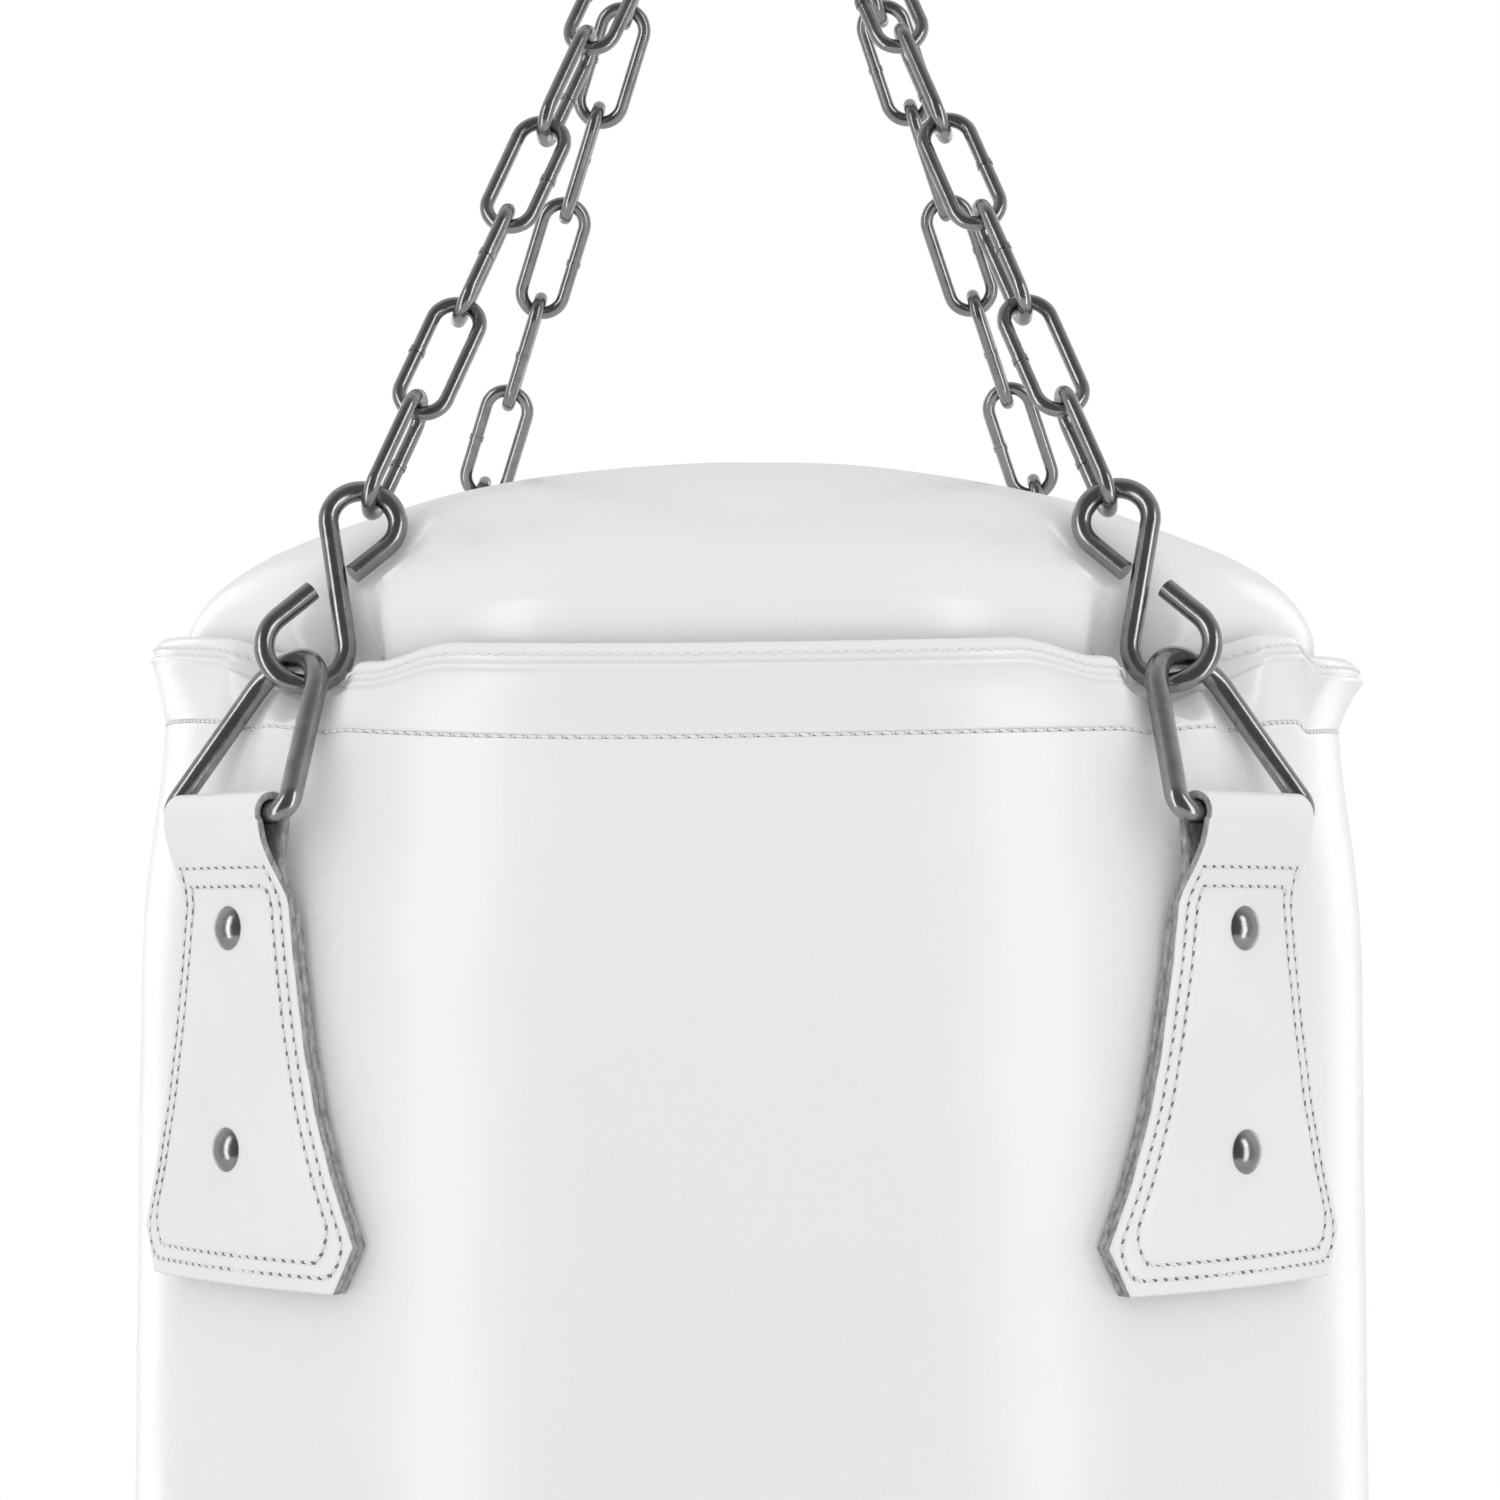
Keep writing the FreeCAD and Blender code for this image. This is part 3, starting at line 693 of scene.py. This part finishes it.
def strap_route():
    """Stations (radius, height) of the leather's middle: front layer up, round the bar, back down."""
    route = []
    for i in range(FLAT_STATIONS):
        t = i / (FLAT_STATIONS - 1.0)
        route.append((OUTER_MID_R, STRAP_BOTTOM + (NECK_START - STRAP_BOTTOM) * t))
    for i in range(1, NECK_STATIONS + 1):
        height = NECK_START + (TOUCH_Z - NECK_START) * i / NECK_STATIONS
        route.append((outer_radius(height), height))
    for i in range(1, BEND_STATIONS + 1):
        a = -FOLD_ANGLE + (math.pi + FOLD_ANGLE) * i / BEND_STATIONS
        route.append((RING_BAR_R + FOLD_R * math.cos(a), RING_BAR_Z + FOLD_R * math.sin(a)))
    for i in range(1, BACK_STATIONS + 1):
        t = i / BACK_STATIONS
        height = RING_BAR_Z + (STRAP_BOTTOM - RING_BAR_Z) * t
        neck = 2.4 * math.exp(-((height - 14.0) / 6.5) ** 2)
        radius = RING_BAR_R - FOLD_R + (BACK_MID_R - RING_BAR_R + FOLD_R) * smooth(t * 4.0) + neck
        route.append((radius, height))
    return route


def stitch_outline(offset, top, bottom):
    """One closed row of stitching on a strap, as (t, height), following the strap's edge."""
    half = []
    steps, corner = 60, 9.0
    for i in range(steps + 1):
        height = top + (bottom + corner - top) * i / steps
        half.append((strap_half_width(height) - offset, height))
    corner_x, corner_h = half[-1]
    end_x = strap_half_width(STRAP_BOTTOM) - offset + 1.0
    for i in range(1, 11):
        a = math.pi / 2 * i / 10
        half.append((end_x - 1.5 + (corner_x - end_x + 1.5) * math.cos(a),
                     corner_h - corner * math.sin(a)))
    outline = []
    for i in range(21):
        outline.append((-half[0][0] + 2 * half[0][0] * i / 20.0, top))
    outline += half[1:]
    end = half[-1][0]
    for i in range(1, 20):
        outline.append((end - 2 * end * i / 20.0, bottom))
    outline += [(-x, h) for x, h in reversed(half[1:])]
    return outline


ROWS = [stitch_outline(3.1, 16.0, -86.2), stitch_outline(6.4, 11.2, -82.6)]
ROW_POINTS = np.array([p for row in ROWS for p in row])


def stitch_dip(t, height):
    """How far the leather is drawn in beside a row of stitching, in mm."""
    gap = np.sqrt(((ROW_POINTS - (t, height)) ** 2).sum(1)).min()
    return 0.38 * math.exp(-(gap / 1.1) ** 2)


def make_strap(name, angle, seed):
    """The leather, swept along its route; cut edges and the inner side get the suede slot."""
    route = strap_route()
    points, faces, slots = [], [], []
    side_rows = []
    for i, (radius, height) in enumerate(route):
        before = route[max(i - 1, 0)]
        after = route[min(i + 1, len(route) - 1)]
        run = Vector((after[0] - before[0], after[1] - before[1]))
        run.normalize()
        normal = Vector((run.y, -run.x))
        front = i < FLAT_STATIONS + NECK_STATIONS
        half = strap_half_width(height)
        wander = EDGE_WANDER * (1.0 - smooth(height / EDGE_CALM_ABOVE))
        half_left = half + noise.noise(Vector((height / 9.0, seed, 0.0))) * wander
        half_right = half + noise.noise(Vector((height / 9.0, seed + 5.0, 3.0))) * wander
        if not front:
            half_left -= BACK_INSET
            half_right -= BACK_INSET
        side_row = []
        for side in (1, -1):
            for k in range(SIDE_STEPS + 1):
                u = -1.0 + 2.0 * k / SIDE_STEPS
                u = math.copysign(abs(u) ** 0.8, u) * side
                limit = half_right if u > 0 else half_left
                t = u * limit
                from_edge = limit - abs(t)
                thickness = HALF_LAYER
                if from_edge < EDGE_ROUND:
                    arc = math.sqrt(max(0.0, 1 - (1 - from_edge / EDGE_ROUND) ** 2))
                    thickness = HALF_LAYER * (0.72 + 0.28 * arc)
                lift = side * thickness
                if side == 1 and front and height < DIPPED_BELOW:
                    lift -= stitch_dip(t, height)
                swell = 0.12 * noise.noise(Vector((t / 14.0, height / 14.0, seed + side)))
                lift += swell if front else 0.0
                points.append(strap_spot(angle, t, radius + normal.x * lift, height + normal.y * lift))
                side_row.append(side)
        side_rows.append(side_row)
    size = 2 * (SIDE_STEPS + 1)
    for i, side_row in enumerate(side_rows[:-1]):
        for k in range(size):
            a = i * size + k
            b = i * size + (k + 1) % size
            faces.append((a, a + size, b + size, b))
            cut = side_row[(k + 1) % size] != side_row[k]
            slots.append(1 if cut or side_row[k] == -1 else 0)
    last_row = (len(side_rows) - 1) * size
    for start, flip in ((0, False), (last_row, True)):
        for k in range(SIDE_STEPS):
            face = (start + k, start + k + 1, start + size - 2 - k, start + size - 1 - k)
            faces.append(face[::-1] if flip else face)
            slots.append(1)
    return make_mesh(name, points, faces, [LEATHER, SUEDE], slots)


def strap_stitching(name, angle, seed):
    parts = []
    for number, outline in enumerate(ROWS):
        path = []
        for t, height in outline:
            surface = outer_radius(height) + HALF_LAYER - 0.2
            place = strap_spot(angle, t, surface, height)
            deeper = strap_spot(angle, t, surface - 5.0, height)
            path.append((place, (place - deeper).normalized()))
        row = stitch_row(name + "_row_" + str(number + 1), path, pitch=3.45 * MM, radius=0.46 * MM,
                         hole_shade=HOLE_SHADE, slant=0.25, seed=seed * 10 + number, mark=1.9)
        parts.append(row)
    return parts


for seed, (name, (angle, _)) in enumerate(SLINGS.items()):
    strap = make_strap("leather_strap_" + name, angle, seed * 11.0)
    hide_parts("strap_" + name)
    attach(strap, "bag")
    for row in strap_stitching("strap_stitching_" + name, angle, seed + 1):
        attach(row, "bag")


# ---------------------------------------------------------------- bottom of the bag

BASE_STEPS, BASE_MIDDLE_R, BASE_REACH, BASE_SAG = 39, 2.0, 170.5, 6.2
PIPING_R, PIPING_RING_R, PIPING_SIDES = 2.6, 175.6, 16
BASE_STITCH_R, BASE_STITCHES = 169.0, 720


def base_profile(phi):
    rows = [(BASE_MIDDLE_R, BAG_BOTTOM - 8.3)]
    for i in range(1, BASE_STEPS + 1):
        t = i / BASE_STEPS
        radius = BASE_MIDDLE_R + BASE_REACH * t
        sag = BASE_SAG * (1.0 - t ** 2.2)
        place = Vector((math.sin(phi) * radius / 40.0, math.cos(phi) * radius / 40.0, 4.0))
        pucker = 0.25 * math.sin(phi * 90.0) * smooth((radius - 158.0) / 12.0)
        rows.append((radius, BAG_BOTTOM - 2.2 - sag + noise.noise(place) * 0.7 + pucker))
    rows += [(173.4, BAG_BOTTOM - 1.2), (174.2, BAG_BOTTOM + 0.6), (172.0, BAG_BOTTOM + 1.6),
             (120.0, BAG_BOTTOM + 1.2), (BASE_MIDDLE_R, BAG_BOTTOM + 1.0)]
    return rows


base = ring_sweep("bag_base", base_profile, 360, [VINYL], close_top=True, close_bottom=True)
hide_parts("base_panel")
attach(base, "bag")


def piping_profile(phi):
    rows = []
    radius = PIPING_R + 0.08 * math.sin(phi * 70.0)
    for k in range(PIPING_SIDES):
        a = TWO_PI * k / PIPING_SIDES
        rows.append((PIPING_RING_R + radius * math.cos(a), BAG_BOTTOM - 1.0 + radius * math.sin(a)))
    return rows


piping = ring_sweep("base_piping", piping_profile, 540, [VINYL])
base_stitches = stitch_row(
    "base_stitching",
    [(Vector(spot(BASE_STITCH_R, TWO_PI * j / BASE_STITCHES, BAG_BOTTOM - 3.1)), Vector((0, 0, -1)))
     for j in range(BASE_STITCHES)],
    pitch=4.0 * MM, radius=0.5 * MM, hole_shade=FAINT_HOLE_SHADE, seed=9)
for piece in (piping, base_stitches):
    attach(piece, "bag")


# ---------------------------------------------------------------- metal and inner CAD pieces

INNER = {"foam_liner": FOAM, "filling": FILLING}
for name, node in nodes.items():
    node.data.materials.clear()
    node.data.materials.append(INNER.get(name, NICKEL))


# ---------------------------------------------------------------- floor, light, camera

FLOOR_Z = -1.95
FLOOR_RINGS = [0.6, 1.2, 2.0, 3.0]


def make_floor():
    points = [(0.0, 0.0, FLOOR_Z)]
    faces = []
    sides = 64
    for radius in FLOOR_RINGS:
        for k in range(sides):
            a = TWO_PI * k / sides
            points.append((radius * math.cos(a), radius * math.sin(a), FLOOR_Z))
    for k in range(sides):
        faces.append((0, 1 + k, 1 + (k + 1) % sides))
    for ring in range(len(FLOOR_RINGS) - 1):
        for k in range(sides):
            a = 1 + ring * sides + k
            b = 1 + ring * sides + (k + 1) % sides
            faces.append((a, a + sides, b + sides, b))
    mat, tree, shader, coords = new_material("studio_floor")
    tone = noise_value(tree, coords, 3.0, 4.0)
    tree.links.new(ramp(tree, tone, 0.3, 0.7, grey(0.78), grey(0.84)), shader.inputs["Base Color"])
    shader.inputs["Roughness"].default_value = 0.8
    return make_mesh("floor", points, faces, [mat])


make_floor()

WHITE = (1, 1, 1, 1)


def make_world():
    """White to the camera; evenly lit, a little less from above; metal mirrors a darker front."""
    world = bpy.data.worlds.new("studio")
    world.use_nodes = True
    tree = world.node_tree
    tree.nodes.clear()
    output = tree.nodes.new("ShaderNodeOutputWorld")
    path = tree.nodes.new("ShaderNodeLightPath")
    seen = tree.nodes.new("ShaderNodeBackground")
    around_light = tree.nodes.new("ShaderNodeBackground")
    mirrored = tree.nodes.new("ShaderNodeBackground")
    for background in (seen, around_light, mirrored):
        background.inputs["Color"].default_value = WHITE
    direction = tree.nodes.new("ShaderNodeTexCoord")
    split = tree.nodes.new("ShaderNodeSeparateXYZ")
    tree.links.new(direction.outputs["Generated"], split.inputs["Vector"])
    dim_top = range_node(tree, split.outputs["Z"], (-0.1, 0.9), (1.10, 0.86))
    tree.links.new(dim_top.outputs["Result"], around_light.inputs["Strength"])
    dark_front = range_node(tree, split.outputs["Y"], (-0.75, 0.35), (0.14, 0.75))
    dark_front.interpolation_type = "SMOOTHSTEP"
    tree.links.new(dark_front.outputs["Result"], mirrored.inputs["Strength"])
    glossy = tree.nodes.new("ShaderNodeMixShader")
    camera = tree.nodes.new("ShaderNodeMixShader")
    tree.links.new(path.outputs["Is Glossy Ray"], glossy.inputs["Fac"])
    tree.links.new(around_light.outputs[0], glossy.inputs[1])
    tree.links.new(mirrored.outputs[0], glossy.inputs[2])
    tree.links.new(path.outputs["Is Camera Ray"], camera.inputs["Fac"])
    tree.links.new(glossy.outputs[0], camera.inputs[1])
    tree.links.new(seen.outputs[0], camera.inputs[2])
    tree.links.new(camera.outputs[0], output.inputs["Surface"])
    bpy.context.scene.world = world


LIGHT_TARGET = Vector((0, 0, -0.6))


def softbox(name, azimuth, height, distance, width, tall, power):
    """A tall area light that shows in gloss only."""
    light = bpy.data.lights.new(name, "AREA")
    light.shape = "RECTANGLE"
    light.size = width
    light.size_y = tall
    light.energy = power
    lamp = bpy.data.objects.new(name, light)
    phi = math.radians(azimuth)
    lamp.location = (distance * math.sin(phi), -distance * math.cos(phi), height)
    aim = LIGHT_TARGET - lamp.location
    lamp.rotation_euler = aim.to_track_quat("-Z", "Y").to_euler()
    lamp.visible_diffuse = False
    lamp.visible_camera = False
    bpy.context.scene.collection.objects.link(lamp)


make_world()
for side, label in ((-1, "left"), (1, "right")):
    softbox("softbox_" + label, azimuth=side * 52.0, height=-0.4, distance=1.9, width=0.55, tall=2.6,
            power=13.0)
    softbox("rear_box_" + label, azimuth=side * 140.0, height=-0.3, distance=2.2, width=0.6, tall=2.4,
            power=5.0)

CAMERA_DISTANCE, CAMERA_AZIMUTH, CAMERA_PITCH = 0.979, math.radians(1.8), math.radians(3.1)
SENSOR_WIDTH, FOCAL_LENGTH = 36.0, 79.8
camera_data = bpy.data.cameras.new("camera")
camera_data.sensor_width = SENSOR_WIDTH
camera_data.lens = FOCAL_LENGTH
camera_data.clip_start = 0.05
camera = bpy.data.objects.new("camera", camera_data)
camera.location = (CAMERA_DISTANCE * math.sin(CAMERA_AZIMUTH),
                   -CAMERA_DISTANCE * math.cos(CAMERA_AZIMUTH), -DATUM * MM)
target = Vector((0, 0, -DATUM * MM + CAMERA_DISTANCE * math.tan(CAMERA_PITCH)))
camera.rotation_euler = (target - camera.location).to_track_quat("-Z", "Y").to_euler()
bpy.context.scene.collection.objects.link(camera)
bpy.context.scene.camera = camera
bpy.context.scene.view_settings.view_transform = "Standard"
